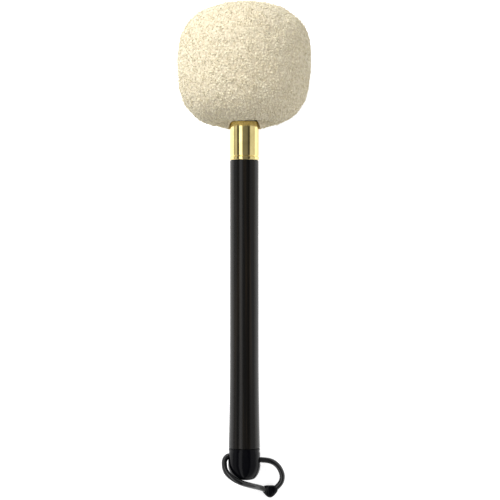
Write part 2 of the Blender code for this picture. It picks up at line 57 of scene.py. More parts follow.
# Sizes in mm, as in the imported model
GAP = 0.3
HANDLE_RADIUS = 11.1
BUTT_RADIUS = 12.05
SWELL_LENGTH = 75.0
BUTT_BEVEL = 2.4
BUTT_BEVEL_HEIGHT = 3.7
CAP_LENGTH = 24.0
CAP_BULGE = 0.55
CAP_FLAT_RADIUS = 6.5
CAP_CORNER_HEIGHT = 11.5
CAP_CORNER_POWER = 1.75
CAP_WALL = 1.7
CAP_END_THICKNESS = 4.8
FERRULE_RADIUS = 11.3
FERRULE_FOOT = 245.9
FERRULE_TOP = 275.3
FERRULE_WALL = 1.0
NECK_RADIUS = 7.0
TENON_TOP = 331.3
HEAD_RADIUS = 51.25
HEAD_BASE = 271.3
HEAD_WAIST = 325.7
HEAD_TOP = 368.1
CROWN_POWER = 2.4
BELLY_POWER = 3.05
CROWN_LEAN = 0.8
PILE_THICKNESS = 8.0
GATHER_THICKNESS = 13.3
CORD_RADIUS = 2.15
BORE_SLANT = math.radians(8.0)
BORE_STRAIGHT = 8.5
MOUTH_DEPTH = 4.6
SLEEVE_RADIUS = 6.1
SLEEVE_LENGTH = 9.6
SLEEVE_FLATNESS = 0.6
SLEEVE_PLACE = (19.9, 6.15, -5.6)
THREAD_RADIUS = 0.7
THREAD_PITCH = 1.9
THREAD_TURNS = 2.5
THREAD_COIL_RADIUS = 9.6

# The cord's route in mm: across, towards the viewer and height above the cap's flat end
LEFT_STRAND = [
    (17.6, -6.1, -10.6),
    (16.1, -5.5, -9.1),
    (13.9, -4.1, -7.8),
    (11.0, -1.8, -6.6),
    (6.7, 2.6, -5.0),
    (2.1, 6.4, -3.3),
    (-2.5, 9.0, -1.5),
    (-6.4, 9.8, 0.4),
    (-9.9, 9.2, 2.6),
    (-12.4, 7.8, 4.6),
    (-14.1, 6.2, 6.9),
    (-15.1, 4.4, 9.4),
    (-15.4, 2.5, 12.2),
    (-15.2, 1.2, 14.4),
    (-14.2, 0.5, 16.4),
    (-12.5, 0.1, 17.7),
    (-10.3, 0.0, 18.0),
]
RIGHT_STRAND = [
    (11.0, 0.0, 15.05),
    (13.6, -0.1, 14.8),
    (16.6, -0.3, 14.55),
    (19.8, -0.9, 13.9),
    (22.8, -1.8, 12.5),
    (25.4, -2.8, 10.3),
    (27.3, -3.8, 7.7),
    (28.6, -4.7, 4.9),
    (29.3, -5.4, 2.1),
    (29.2, -5.9, -0.6),
    (28.5, -6.2, -3.0),
    (27.1, -6.3, -5.1),
    (25.4, -6.3, -6.9),
    (23.7, -6.3, -8.6),
    (22.4, -6.2, -10.6),
]
CORD_SPACING = 0.9

# Fine detail in mm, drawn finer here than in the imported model
CAP_LIP_RADIUS = 0.75
CAP_LIP_PROUD = 0.1
CAP_WAIST_DEPTH = 0.35
MOUTH_RADIUS = 4.4
HEM_HEIGHT = 7.0
FERRULE_GROOVE_HEIGHT = 2.7
FERRULE_GROOVE_DEPTH = 0.3
FERRULE_BEAD = 0.22
SLEEVE_FLUTES = 14
SLEEVE_FLUTE_DEPTH = 0.035  # as a share of the radius
MERGE_DISTANCE = 0.01
SHARP_ANGLE = math.radians(35.0)  # edges that turn by more than this stay sharp

# The fleece in mm: its grid, and the tufts and curls of its pile
FLEECE_SIDES = 540
FLEECE_SPACING = 0.56
POLE_RADIUS = 0.02
TUFT_SIZE = 1.9
TUFT_HEIGHT = 0.95
GRAIN_HEIGHT = 0.28
LUMP_HEIGHT = 0.8
# Where the three noises start that bend the pattern of the tufts, one for each direction
WARP_SHIFTS = [Vector((31.7, 0.0, 0.0)), Vector((0.0, 47.3, 0.0)), Vector((0.0, 0.0, 59.1))]
CURLS = 11500
CURL_POINTS = 6
CURL_SIZE = (0.35, 0.75)
CURL_THICKNESS = (0.17, 0.28)
CURL_SWEEP = (2.6, 4.4)  # how far round a curl bends, in radians
CURL_TALLNESS = 1.25  # a curl's height over its size
CURL_SINK = 0.15
CURL_TIP_RISE = 0.25
CURL_TWIST = 0.14

# The fleece's hem in mm, which hangs beside the ferrule and is drawn up in front of it
LIP_RADIUS = FERRULE_RADIUS + 0.7
SKIRT_DROP = 2.4
SKIRT_RADIUS = 17.0
NOTCH_FADE = (15.0, 31.0)  # radii between which the draw-up dies out
NOTCHES = [  # turn from +X and width in degrees, lift, and how square the notch is
    (-90.0, 74.0, 4.4, 6),
    (-66.0, 34.0, 2.4, 4),
]
LEAN_RADIUS = 25.0  # the head's ends lean in full from here outward
DIMPLES = [  # across, height, radius and depth of the dents that the photograph shows
    (22.9, 338.5, 4.5, 1.3),
    (29.5, 354.5, 5.5, 1.2),
    (-14.0, 349.0, 6.0, 0.5),
    (10.0, 300.0, 8.0, 0.5),
]

# The photograph in mm: camera over the middle of the picture, square to the handle
VIEW_ACROSS = 4.4
VIEW_HEIGHT = 176.6
VIEW_WIDTH = 385.5
CAMERA_DISTANCE = 1250.0
SENSOR = 36.0

# Lamps: across, towards the viewer and height in mm, and power in W
LAMPS = {
    "key": ((-620.0, 620.0, 860.0), 11.8),
    "right_fill": ((800.0, 500.0, 100.0), 2.2),
}
LAMP_SIZE = 600.0
LAMP_AIM = (0.0, 0.0, 0.8 * HEAD_BASE)

# What gloss sees round the handle: degrees from overhead towards +X, and how bright
ROOM_BANDS = [
    (-179.0, 0.2),
    (-112.0, 0.24),
    (-84.0, 0.62),
    (-62.0, 0.80),
    (-56.0, 0.12),
    (-42.0, 0.12),
    (-36.0, 2.30),
    (-19.0, 2.00),
    (-13.0, 0.26),
    (24.0, 0.22),
    (31.0, 0.07),
    (42.0, 0.08),
    (50.0, 0.85),
    (92.0, 0.75),
    (112.0, 0.24),
    (179.0, 0.2),
]
SOFT_FILL = 0.56
FLOOR_HALF = 3000.0
FLOOR_DROP = 0.3
FLOOR_GLOW = 0.68


def place(across, outward, height):
    """A point of the mallet's own frame, in world metres."""
    return LAID @ (Vector((across, -outward, height)) * MM)


# Shader nodes


class Socket:
    """A shader value that does its arithmetic with Math nodes."""

    def __init__(self, shader, socket):
        self.shader = shader
        self.socket = socket

    def maths(self, operation, first, second, clamp=False):
        """The outcome of one operation on two values."""
        settings = {"operation": operation, "use_clamp": clamp}
        return self.shader.node("ShaderNodeMath", settings, {0: first, 1: second})

    def __add__(self, other):
        return self.maths("ADD", self, other)

    def __sub__(self, other):
        return self.maths("SUBTRACT", self, other)

    def __rsub__(self, other):
        return self.maths("SUBTRACT", other, self)

    def __mul__(self, other):
        return self.maths("MULTIPLY", self, other)

    def __pow__(self, other):
        return self.maths("POWER", self, other)

    def clamped(self):
        """The value held between 0 and 1."""
        return self.maths("ADD", self, 0.0, clamp=True)

    __radd__ = __add__
    __rmul__ = __mul__


class Shader:
    """A node tree, with the method that adds nodes to it."""

    def __init__(self, tree):
        self.tree = tree

    def node(self, kind, settings=None, inputs=None, output=0):
        """The output of a new node, with its settings made and its sockets set or linked."""
        made = self.tree.nodes.new(kind)
        for key, value in (settings or {}).items():
            if key == "stops":
                self.set_stops(made.color_ramp.elements, value)
            else:
                setattr(made, key, value)
        for key, value in (inputs or {}).items():
            if isinstance(value, Socket):
                self.tree.links.new(value.socket, made.inputs[key])
            else:
                made.inputs[key].default_value = value
        return Socket(self, made.outputs[output])

    def set_stops(self, elements, stops):
        """Grey stops of (place, light) in a ramp, in place of its own two."""
        for spot, light in stops:
            elements.new(spot).color = (light, light, light, 1.0)
        elements.remove(elements[0])
        elements.remove(elements[-1])


class Finish(Shader):
    """One surface finish, with the nodes that vary it over the surface."""

    def __init__(self, name, **fixed):
        self.material = bpy.data.materials.new(name)
        self.material.use_nodes = True
        super().__init__(self.material.node_tree)
        self.surface = self.tree.nodes["Principled BSDF"]
        for key, value in fixed.items():
            self.put(key.replace("_", " "), value)

    def put(self, name, value):
        """Sets one of the surface's sockets, or links it to a value that varies."""
        target = self.surface.inputs[name]
        if isinstance(value, Socket):
            self.tree.links.new(value.socket, target)
        else:
            target.default_value = value

    def noise(self, cycles, detail=3.0, roughness=0.5):
        """Noise in the mallet's own frame, with cycles a metre across, away and along."""
        spot = self.node("ShaderNodeTexCoord", output="Object")
        upright = self.node("ShaderNodeMapping", inputs={"Vector": spot, "Rotation": UPRIGHT})
        stretched = self.node("ShaderNodeMapping", inputs={"Vector": upright, "Scale": cycles})
        inputs = {"Vector": stretched, "Scale": 1.0, "Detail": detail, "Roughness": roughness}
        return self.node("ShaderNodeTexNoise", inputs=inputs)

    def mixed(self, share, first, second):
        """One colour turning into another. A Mix node's colours are its sockets 6 and 7."""
        inputs = {0: share}
        for key, colour in ((6, first), (7, second)):
            inputs[key] = colour if isinstance(colour, Socket) else (*colour, 1.0)
        return self.node("ShaderNodeMix", {"data_type": "RGBA"}, inputs, output=2)

    def bump(self, height, depth, strength):
        """Bumps of a depth in mm."""
        inputs = {"Height": height, "Distance": depth * MM, "Strength": strength}
        self.put("Normal", self.node("ShaderNodeBump", inputs=inputs))


def even(cycles):
    """The same cycles a metre in all three directions."""
    return (cycles, cycles, cycles)


def black_lacquer():
    """Satin lacquer over grain, which shows as faint brown streaks along the handle."""
    made = Finish("black_lacquer", Specular_IOR_Level=0.24)
    streaks = ((made.noise((420.0, 420.0, 7.0), 5.0) - 0.48) * 3.0).clamped()
    pores = made.noise((900.0, 900.0, 40.0))
    black = (0.0035, 0.0032, 0.0028)
    brown = (0.017, 0.0115, 0.0058)
    made.put("Base Color", made.mixed(streaks, black, brown))
    made.put("Roughness", made.noise((120.0, 120.0, 15.0)) * 0.1 + 0.17)
    made.bump(pores, 0.05, 0.35)
    return made


def polished_brass():
    """Brass with the fine rings of its turning and a little tarnish."""
    made = Finish("polished_brass", Metallic=1.0)
    tarnish = ((made.noise(even(110.0), 4.0) - 0.42) * 2.4).clamped()
    bright = (0.86, 0.70, 0.31)
    dull = (0.66, 0.53, 0.22)
    made.put("Base Color", made.mixed(tarnish, bright, dull))
    rings = made.noise((6.0, 6.0, 2600.0), 2.0)
    made.put("Roughness", rings * 0.06 + 0.05)
    made.bump(rings, 0.01, 0.25)
    return made


def black_vinyl():
    """Dipped vinyl: glossy, a little wavy."""
    made = Finish("black_vinyl", Specular_IOR_Level=0.1)
    waves = made.noise(even(230.0), 2.0)
    made.put("Base Color", made.mixed(waves, (0.0012, 0.0012, 0.0022), (0.003, 0.003, 0.0042)))
    made.put("Roughness", made.noise(even(500.0)) * 0.14 + 0.07)
    made.bump(waves, 0.12, 0.4)
    return made


def black_cord():
    """Smooth round cord with small scuffs."""
    made = Finish("black_cord", Specular_IOR_Level=0.6)
    scuffs = made.noise(even(700.0), 4.0)
    made.put("Base Color", made.mixed(scuffs, (0.003, 0.003, 0.0035), (0.009, 0.009, 0.0095)))
    made.put("Roughness", scuffs * 0.12 + 0.04)
    made.bump(scuffs, 0.05, 0.3)
    return made


def black_thread():
    """Waxed thread with its fibres."""
    made = Finish("black_thread", Roughness=0.6)
    fibres = made.noise(even(2600.0), 4.0)
    made.put("Base Color", made.mixed(fibres, (0.003, 0.003, 0.003), (0.020, 0.017, 0.014)))
    made.bump(fibres, 0.12, 0.8)
    return made


def cream_fleece(name, brightness):
    """Wool that is darker and warmer down between its tufts, which is painted shade."""
    made = Finish(name, Roughness=0.95, Specular_IOR_Level=0.15, Sheen_Weight=0.25,
                  Sheen_Roughness=0.6)
    depth = made.node("ShaderNodeAttribute", {"attribute_name": "tuft"}, output="Fac")
    patches = ((made.noise(even(55.0)) - 0.3) * 1.6).clamped()
    fibres = made.noise(even(1500.0), 4.0)
    bright = [min(1.0, part * brightness) for part in (0.90, 0.85, 0.655)]
    warm = [part * brightness for part in (0.86, 0.785, 0.575)]
    wool = made.mixed(patches, warm, bright)
    # painted shade: the lower a point sits on its tuft, the more the wool turns dark brown
    shaded_pits = made.mixed(((1.0 - depth) ** 1.3) * 0.85, wool, (0.52, 0.42, 0.30))
    made.put("Base Color", made.mixed(fibres * 0.35, shaded_pits, (0.72, 0.66, 0.49)))
    made.bump(fibres, 0.35, 0.7)
    return made


def inner_fabric(name, light, dark, cycles):
    """Felt or loose wool, which differ in colour and in how fine their fibres are."""
    made = Finish(name, Roughness=0.95, Specular_IOR_Level=0.2)
    fibres = made.noise(even(cycles), 5.0, 0.65)
    made.put("Base Color", made.mixed(fibres, dark, light))
    made.bump(fibres, 0.4, 0.8)
    return made


def core_wood():
    """Bare turned hardwood."""
    made = Finish("core_wood", Roughness=0.6)
    grain = made.noise((260.0, 60.0, 14.0), 5.0)
    made.put("Base Color", made.mixed(grain, (0.40, 0.25, 0.12), (0.66, 0.47, 0.27)))
    made.bump(grain, 0.1, 0.5)
    return made


def zinc_steel():
    """Zinc plate with its spangle."""
    made = Finish("zinc_steel", Metallic=1.0)
    spangle = made.noise(even(900.0), 2.0)
    made.put("Base Color", made.mixed(spangle, (0.48, 0.49, 0.50), (0.68, 0.69, 0.70)))
    made.put("Roughness", spangle * 0.2 + 0.25)
    return made


# Shapes


def realised(obj):
    """The object with its modifiers made into its mesh, smooth but for its sharp edges."""
    bpy.context.view_layer.update()
    seen = obj.evaluated_get(bpy.context.evaluated_depsgraph_get())
    mesh = bpy.data.meshes.new_from_object(seen)
    obj.modifiers.clear()
    obj.data = mesh
    mesh.shade_smooth()
    mesh.set_sharp_from_angle(angle=SHARP_ANGLE)
    return obj


def linked(name, data):
    """A new object in the scene, laid as the mallet lies."""
    obj = bpy.data.objects.new(name, data)
    bpy.context.scene.collection.objects.link(obj)
    obj.matrix_world = LAID
    return obj


def turned(name, profile, sides=96, closed=False):
    """A profile of (radius, height) in mm turned about the handle's axis."""
    mesh = bpy.data.meshes.new(name)
    edges = [(i, i + 1) for i in range(len(profile) - 1)]
    if closed:
        edges.append((len(profile) - 1, 0))
    mesh.from_pydata([(r * MM, 0.0, h * MM) for r, h in profile], edges, [])
    obj = linked(name, mesh)
    screw = obj.modifiers.new("Turn", "SCREW")
    screw.steps = sides
    screw.render_steps = sides
    screw.use_merge_vertices = True
    screw.merge_threshold = MERGE_DISTANCE * MM
    return realised(obj)


def eased(corners):
    """Profile whose corners (radius, height, ease) are rounded over their ease."""
    steps = 5
    points = []
    for i, (r, h, ease) in enumerate(corners):
        spot = Vector((r, h))
        if not ease:
            points.append((r, h))
            continue
        before = (Vector(corners[i - 1][:2]) - spot).normalized() * ease + spot
        after = (Vector(corners[(i + 1) % len(corners)][:2]) - spot).normalized() * ease + spot
        for k in range(steps + 1):
            t = k / steps
            bent = before * (1 - t) ** 2 + spot * 2 * t * (1 - t) + after * t**2
            points.append(tuple(bent))
    return points


def carve(obj, cutter):
    """Cuts a shape out of an object."""
    boolean = obj.modifiers.new("Cut", "BOOLEAN")
    boolean.object = cutter
    realised(obj)


def wear(obj, body, finish, slot, *nodes):
    """Gives a piece its finish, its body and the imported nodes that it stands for."""
    obj.data.transform(obj.matrix_world)
    obj.matrix_world = Matrix.Identity(4)
    obj.data.materials.clear()
    obj.data.materials.append(finish.material)
    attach(obj, body)
    if nodes:
        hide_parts(*nodes)
    return obj


def smooth_curve(points):
    """Many points along a smooth curve through the given ones, without loops at tight bends."""
    line = [2 * points[0] - points[1], *points, 2 * points[-1] - points[-2]]
    fine = 24
    drawn = []
    for a, b, c, d in zip(line, line[1:], line[2:], line[3:]):
        knots = [0.0]
        for start, end in ((a, b), (b, c), (c, d)):
            knots.append(knots[-1] + math.sqrt((end - start).length))
        for i in range(fine):
            at = knots[1] + (knots[2] - knots[1]) * i / fine
            ab = a.lerp(b, (at - knots[0]) / (knots[1] - knots[0]))
            bc = b.lerp(c, (at - knots[1]) / (knots[2] - knots[1]))
            cd = c.lerp(d, (at - knots[2]) / (knots[3] - knots[2]))
            abc = ab.lerp(bc, (at - knots[0]) / (knots[2] - knots[0]))
            bcd = bc.lerp(cd, (at - knots[1]) / (knots[3] - knots[1]))
            drawn.append(abc.lerp(bcd, (at - knots[1]) / (knots[2] - knots[1])))
    drawn.append(points[-1])
    return drawn


def smooth_route(points, spacing):
    """Points about a spacing apart along a smooth curve, and the curve's length."""
    drawn = smooth_curve(points)
    lengths = [(q - p).length for p, q in zip(drawn, drawn[1:])]
    count = max(2, round(sum(lengths) / spacing))
    step = sum(lengths) / count
    spread = [drawn[0]]
    covered = 0.0
    for start, end, length in zip(drawn, drawn[1:], lengths):
        while len(spread) < count and covered + length >= step * len(spread):
            share = (step * len(spread) - covered) / length
            spread.append(start.lerp(end, share))
        covered += length
    spread.append(drawn[-1])
    return spread, sum(lengths)


def tube(name, points, radius, fineness):
    """A round tube along points in mm, as one open curve."""
    curve = bpy.data.curves.new(name, "CURVE")
    curve.dimensions = "3D"
    curve.bevel_depth = radius * MM
    curve.bevel_resolution = fineness
    curve.use_fill_caps = True
    spline = curve.splines.new("POLY")
    spline.points.add(len(points) - 1)
    spline.use_smooth = True
    for spot, point in zip(spline.points, points):
        spot.co = (*(Vector(point) * MM), 1.0)
    return linked(name, curve)


# Camera and light


def set_camera():
    """The photograph's camera."""
    data = bpy.data.cameras.new("camera")
    data.sensor_width = SENSOR
    data.lens = SENSOR * CAMERA_DISTANCE / VIEW_WIDTH
    data.clip_end = 100.0
    camera = bpy.data.objects.new("camera", data)
    bpy.context.scene.collection.objects.link(camera)
    turn = Matrix((ACROSS, ALONG, OUTWARD)).transposed().to_4x4()
    spot = place(VIEW_ACROSS, CAMERA_DISTANCE, VIEW_HEIGHT)
    camera.matrix_world = Matrix.Translation(spot) @ turn
    bpy.context.scene.camera = camera


def set_lamps():
    """Square soft boxes aimed below the head. Gloss sees the room in place of them."""
    for name, (spot, power) in LAMPS.items():
        data = bpy.data.lights.new(name, "AREA")
        data.shape = "SQUARE"
        data.size = LAMP_SIZE * MM
        data.energy = power
        lamp = bpy.data.objects.new(name, data)
        bpy.context.scene.collection.objects.link(lamp)
        lamp.visible_glossy = False
        lamp.location = place(*spot)
        aim = place(*LAMP_AIM) - lamp.location
        lamp.rotation_euler = aim.to_track_quat("-Z", "Y").to_euler()


def set_world():
    """White to the camera, bands of light and dark wall to gloss, and a plain soft fill."""
    world = bpy.data.worlds.new("room")
    bpy.context.scene.world = world
    world.use_nodes = True
    world.node_tree.nodes.clear()
    room = Shader(world.node_tree)

    direction = room.node("ShaderNodeTexCoord", output="Generated")
    across = room.node("ShaderNodeSeparateXYZ", inputs={0: direction}, output="X")
    up = room.node("ShaderNodeSeparateXYZ", inputs={0: direction}, output="Z")
    turn = across.maths("ARCTAN2", across, up) * (0.5 / math.pi) + 0.5
    stops = [((angle + 180.0) / 360.0, light) for angle, light in ROOM_BANDS]
    walls = room.node("ShaderNodeValToRGB", {"stops": stops}, {0: turn})

    gloss = room.node("ShaderNodeLightPath", output="Is Glossy Ray")
    camera = room.node("ShaderNodeLightPath", output="Is Camera Ray")
    through = room.node("ShaderNodeLightPath", output="Is Transmission Ray")
    light = (walls - SOFT_FILL) * gloss + SOFT_FILL
    strength = (1.0 - light) * (camera + through).clamped() + light
    white = (1.0, 1.0, 1.0, 1.0)
    background = room.node("ShaderNodeBackground", inputs={"Color": white, "Strength": strength})
    output = world.node_tree.nodes.new("ShaderNodeOutputWorld")
    world.node_tree.links.new(background.socket, output.inputs["Surface"])


def make_floor():
    """A pale floor that looks white and keeps the mallet's shadow."""
    mesh = bpy.data.meshes.new("floor")
    half = FLOOR_HALF * MM
    corners = [(-half, -half, 0), (half, -half, 0), (half, half, 0), (-half, half, 0)]
    mesh.from_pydata(corners, [], [(0, 1, 2, 3)])
    floor = bpy.data.objects.new("floor", mesh)
    bpy.context.scene.collection.objects.link(floor)
    floor.location.z = -FLOOR_DROP * MM
    made = Finish("floor_white", Roughness=1.0, Specular_IOR_Level=0.0,
                  Base_Color=(0.86, 0.86, 0.86, 1.0), Emission_Strength=1.0)
    camera = made.node("ShaderNodeLightPath", output="Is Camera Ray")
    gloss = made.node("ShaderNodeLightPath", output="Is Glossy Ray")
    seen = (camera + gloss).clamped()
    made.put("Emission Color", made.mixed(seen, (0.0, 0.0, 0.0), (FLOOR_GLOW,) * 3))
    floor.data.materials.append(made.material)


# The fleece head


def barrel_point(polar, radius, top, base):
    """Radius and height of a barrel with rounded ends, widest at the head's waist."""
    across = max(0.0, math.sin(polar))
    along = math.cos(polar)
    if along >= 0:
        power, reach = CROWN_POWER, top - HEAD_WAIST
    else:
        power, reach = BELLY_POWER, HEAD_WAIST - base
    height = math.copysign(abs(along) ** (2 / power) * reach, along)
    return radius * across ** (2 / power), HEAD_WAIST + height


def even_profile(points, spacing):
    """The same outline with points about a spacing apart."""
    spots = np.array(points, float)
    lengths = np.concatenate(([0.0], np.cumsum(np.linalg.norm(np.diff(spots, axis=0), axis=1))))
    marks = np.linspace(0.0, lengths[-1], int(lengths[-1] / spacing))
    return np.stack([np.interp(marks, lengths, spots[:, k]) for k in (0, 1)], axis=1)


def fleece_outline():
    """The head's outline from the crown to the lip, sunk a little so that tufts reach its size."""
    fine = 720
    radius = HEAD_RADIUS - TUFT_HEIGHT * 0.6
    top = HEAD_TOP - TUFT_HEIGHT * 1.5
    base = HEAD_BASE + TUFT_HEIGHT * 0.4
    outline = []
    for i in range(fine + 1):
        r, h = barrel_point(math.pi * i / fine, radius, top, base)
        if h < HEAD_WAIST and r < LIP_RADIUS + 1.0:
            break
        outline.append((max(r, POLE_RADIUS), h))
    outline += [(LIP_RADIUS + 0.4, HEAD_BASE + 0.6), (LIP_RADIUS, HEAD_BASE + 1.6)]
    return even_profile(outline, FLEECE_SPACING)


def softened(low, high, values):
    """A share from 0 at low to 1 at high, without a kink at either."""
    share = np.clip((values - low) / (high - low), 0.0, 1.0)
    return share * share * (3 - 2 * share)


def fleece_turns():
    """Turns from +X of the fleece grid's columns."""
    return np.linspace(0.0, 2 * math.pi, FLEECE_SIDES, endpoint=False)


def notch_lift(turns):
    """How far the hem is drawn up at each turn about the handle."""
    lift = np.zeros(len(turns))
    for middle, width, rise, squareness in NOTCHES:
        apart = np.angle(np.exp(1j * (turns - math.radians(middle))))
        lift += rise * np.exp(-(np.abs(apart / math.radians(width)) ** squareness))
    return lift


def fleece_grid():
    """Smooth points of the head's outside, as rings of points in mm."""
    outline = fleece_outline()
    turns = fleece_turns()
    radius = outline[:, 0][:, None] * np.ones(FLEECE_SIDES)
    height = outline[:, 1][:, None] * np.ones(FLEECE_SIDES)
    below = (height < HEAD_WAIST).astype(float)
    height = height + below * notch_lift(turns) * (1.0 - softened(*NOTCH_FADE, radius))
    beside = np.abs(np.cos(turns))[None, :] ** 3
    hanging = 1.0 - softened(LIP_RADIUS, SKIRT_RADIUS, radius)
    height = height - below * SKIRT_DROP * beside * hanging
    lean = CROWN_LEAN * (height - HEAD_WAIST) / (HEAD_TOP - HEAD_WAIST) * (1.0 - 0.5 * below)
    x = radius * np.cos(turns)[None, :] + lean * softened(LIP_RADIUS, LEAN_RADIUS, radius)
    y = radius * np.sin(turns)[None, :]
    return np.stack([x, y, height], axis=2)


def grid_normals(grid):
    """Which way is outward at each point of the grid."""
    along = np.gradient(grid, axis=0)
    around = np.roll(grid, -1, axis=1) - np.roll(grid, 1, axis=1)
    normals = np.cross(along, around)
    return normals / np.maximum(np.linalg.norm(normals, axis=2, keepdims=True), 1e-9)


def pile(point):
    """How far the pile stands at a point, and how high up a tuft that is, from 0 to 1."""
    spot = Vector(point)
    warp = Vector([noise.noise(spot * 0.5 + shift) for shift in WARP_SHIFTS]) * 0.3
    nearest = noise.voronoi(spot / TUFT_SIZE + warp)[0]
    tuft = math.sin(min(1.0, (nearest[1] - nearest[0]) * 1.3) * math.pi / 2)
    grain = noise.noise(spot * 1.9)
    lump = noise.noise(spot * 0.06) * 0.9 + noise.noise(spot * 0.16) * 0.45
    return TUFT_HEIGHT * (tuft - 0.4) + GRAIN_HEIGHT * grain + lump * LUMP_HEIGHT, tuft


def fleece_relief(grid):
    """The pile's height over the grid with its dents, and how high up a tuft each point is."""
    heights, tufts = np.array([pile(point) for point in grid.reshape(-1, 3)]).T
    heights = heights.reshape(grid.shape[:2])
    facing = softened(5.0, 20.0, -grid[:, :, 1])
    for across, height, radius, depth in DIMPLES:
        apart = (grid[:, :, 0] - across) ** 2 + (grid[:, :, 2] - height) ** 2
        heights = heights - depth * np.exp(-apart / radius**2) * facing
    radius = np.hypot(grid[:, :, 0], grid[:, :, 1])
    lip = softened(LIP_RADIUS, LIP_RADIUS + 2.5, radius)
    lip = np.where(grid[:, :, 2] > HEAD_WAIST, 1.0, lip)
    return heights * lip, tufts


def keep_above_table(spots):
    """Points in mm, with those under the table top lifted to it."""
    lift = OUTWARD.z
    height = FOOT.z / MM + spots[..., 2] * ALONG.z - spots[..., 1] * lift
    moved = spots.copy()
    moved[..., 1] += np.minimum(height, 0.0) / lift
    return moved


def cavity_rings():
    """Rings of the cover's inside from the whipping to the crown: radius and height."""
    coil_outside = THREAD_COIL_RADIUS + THREAD_RADIUS + GAP
    coil_inside = THREAD_COIL_RADIUS - THREAD_RADIUS - GAP
    hem_top = FERRULE_TOP + HEM_HEIGHT
    neck = FERRULE_TOP + 0.4
    rings = [(coil_outside, hem_top), (coil_inside, hem_top), (coil_inside, neck)]
    rings.append((NECK_RADIUS + GAP, neck))
    cavity = (HEAD_RADIUS - PILE_THICKNESS, HEAD_TOP - PILE_THICKNESS, HEAD_BASE + GATHER_THICKNESS)
    steps = 16
    for i in range(steps, -1, -1):
        r, h = barrel_point(math.pi * i / steps, *cavity)
        if r > NECK_RADIUS + GAP or h > HEAD_WAIST:
            rings.append((max(r, POLE_RADIUS), h))
    return rings


def fleece_inside():
    """The cover's inside as rings of points in mm. Its first two rings follow the hem."""
    turns = fleece_turns()
    lift = notch_lift(turns)
    hem = [(LIP_RADIUS - 0.1, HEAD_BASE + 2.8), (FERRULE_RADIUS + 0.6, FERRULE_TOP + 0.6)]
    rings = [(r, h + lift) for r, h in hem]
    rings += [(r, np.full(FLEECE_SIDES, h)) for r, h in cavity_rings()]
    return [np.stack([r * np.cos(turns), r * np.sin(turns), h], axis=1) for r, h in rings]


def grid_mesh(name, points, sides):
    """A closed mesh from rings of points, with one face over the first and the last ring."""
    count = len(points) // sides
    faces = []
    for row in range(count - 1):
        start = row * sides
        for k in range(sides):
            after = (k + 1) % sides
            faces.append((start + k, start + sides + k, start + sides + after, start + after))
    faces.append(tuple(range(sides)))
    last = (count - 1) * sides
    faces.append(tuple(last + k for k in range(sides - 1, -1, -1)))
    mesh = bpy.data.meshes.new(name)
    mesh.from_pydata((points * MM).tolist(), [], faces)
    mesh.validate()
    mesh.shade_smooth()
    return mesh


def set_tufts(mesh, shades):
    """Keeps how high up a tuft each point is, for the wool's painted shade."""
    mesh.attributes.new("tuft", "FLOAT", "POINT").data.foreach_set("value", shades)


def make_fleece():
    """The fleece cover, whose pile dies out at the lip beside the ferrule."""
    grid = fleece_grid()
    normals = grid_normals(grid)
    heights, tufts = fleece_relief(grid)
    outside = keep_above_table(grid + normals * heights[:, :, None])
    points = np.concatenate([outside.reshape(-1, 3), *fleece_inside()])
    mesh = grid_mesh("fleece_head", points, FLEECE_SIDES)
    # the cover's inside gets the painted shade of a point halfway up a tuft
    set_tufts(mesh, np.concatenate([tufts, np.full(len(points) - len(tufts), 0.5)]))
    head = linked("fleece_head", mesh)
    wear(head, "mallet", cream_fleece("cream_fleece", 1.0), "cream_fleece", "fleece_cover")
    make_curls(outside, normals)


def curl_roots(draw, grid, normals):
    """Points where curls stand, none at the lip, and which way is outward there."""
    chance = np.hypot(grid[:, :, 0], grid[:, :, 1]).ravel()
    low = (grid[:, :, 2] < HEAD_WAIST).ravel()
    chance[low & (chance < LIP_RADIUS + 2.0)] = 0.0
    picks = draw.choice(len(chance), CURLS, replace=False, p=chance / chance.sum())
    return grid.reshape(-1, 3)[picks], normals.reshape(-1, 3)[picks]


def curl_points(draw, spots, outward):
    """Points of all curls in mm, each a bent prism of three sides that tapers to its tip."""
    aside = np.cross(outward, draw.normal(size=(CURLS, 3)))
    aside /= np.linalg.norm(aside, axis=1, keepdims=True)
    third = np.cross(outward, aside)
    size = draw.uniform(*CURL_SIZE, CURLS)
    twist = draw.uniform(-0.5, 0.5, CURLS)
    sweep = draw.uniform(*CURL_SWEEP, CURLS)
    thick = draw.uniform(*CURL_THICKNESS, CURLS)
    points = []
    for k in range(CURL_POINTS):
        turn = sweep * k / (CURL_POINTS - 1)
        rise = size * np.sin(turn) * CURL_TALLNESS - CURL_SINK
        rise = rise + CURL_TIP_RISE * k / (CURL_POINTS - 1)
        shift = size * (1 - np.cos(turn))
        centre = spots + outward * rise[:, None] + aside * shift[:, None]
        centre = centre + third * (twist * k * CURL_TWIST)[:, None]
        lean = outward * np.cos(turn)[:, None] + aside * np.sin(turn)[:, None]
        taper = thick * (1.0 - 0.5 * (k / (CURL_POINTS - 1)) ** 2)
        across = np.cross(lean, third)
        for corner in range(3):
            angle = 2 * math.pi * corner / 3
            ring = third * math.cos(angle) + across * math.sin(angle)
            points.append(centre + ring * taper[:, None])
    return keep_above_table(np.stack(points, axis=1).reshape(-1, 3))


def curl_faces():
    """Faces of all curls: three sides between each two rings, and both ends."""
    faces = []
    count = CURL_POINTS * 3
    for first in range(0, CURLS * count, count):
        for row in range(first, first + count - 3, 3):
            for corner in range(3):
                after = (corner + 1) % 3
                faces.append((row + corner, row + after, row + 3 + after, row + 3 + corner))
        last = first + count - 3
        faces += [(first + 2, first + 1, first), (last, last + 1, last + 2)]
    return faces


